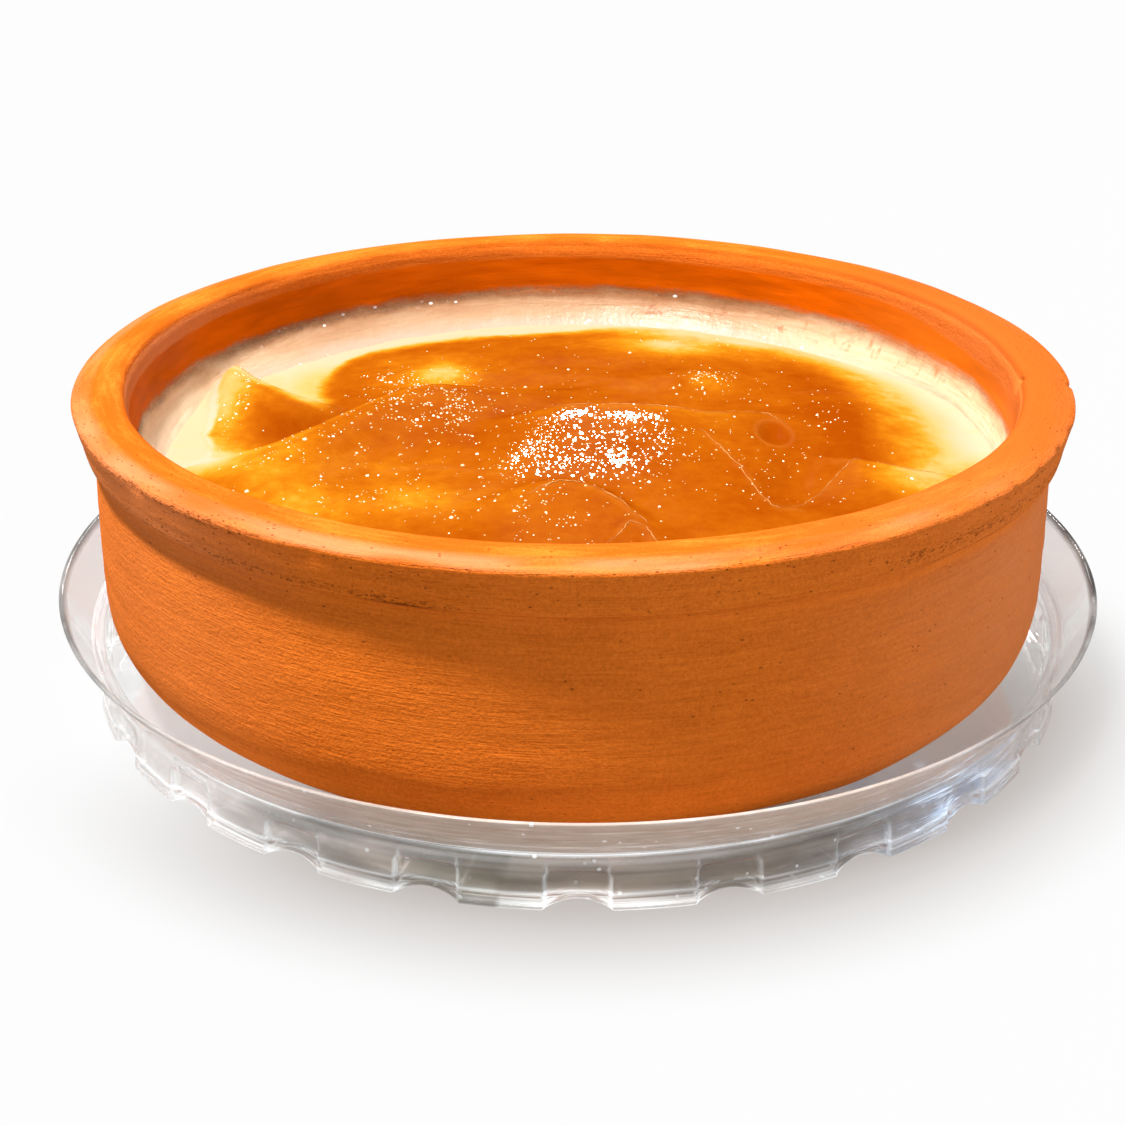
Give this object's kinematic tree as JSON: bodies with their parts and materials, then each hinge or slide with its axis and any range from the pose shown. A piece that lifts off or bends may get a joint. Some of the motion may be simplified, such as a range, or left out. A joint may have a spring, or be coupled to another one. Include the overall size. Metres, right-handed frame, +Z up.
{
  "type": "baked rice pudding in a terracotta bowl on a clear saucer",
  "caption": "Oven-baked rice pudding with a browned, puffed skin, in a round terracotta bowl with a banded rim, standing in a clear plastic saucer with a notched foot.",
  "frame": {"origin": "middle of the saucer's footprint, on the table it stands on", "axes": "+Z up out of the bowl; +X to the right of someone who faces the side with a saucer notch in its middle; +Y away from them"},
  "size_m": [0.1294, 0.1294, 0.0385],
  "materials": {
    "terracotta": "fine-grained unglazed fired clay with throwing lines, glazed orange inside above the pudding",
    "baked_skin": "wet, glossy browned milk skin, amber to deep orange, cream-yellow at its margin",
    "clear_plastic": "thin clear moulded plastic, glossy, with a few scratches and drops"
  },
  "bodies": {
    "root": {"bowl": "terracotta", "pudding": "baked_skin", "saucer": "clear_plastic"}
  },
  "joints": []
}
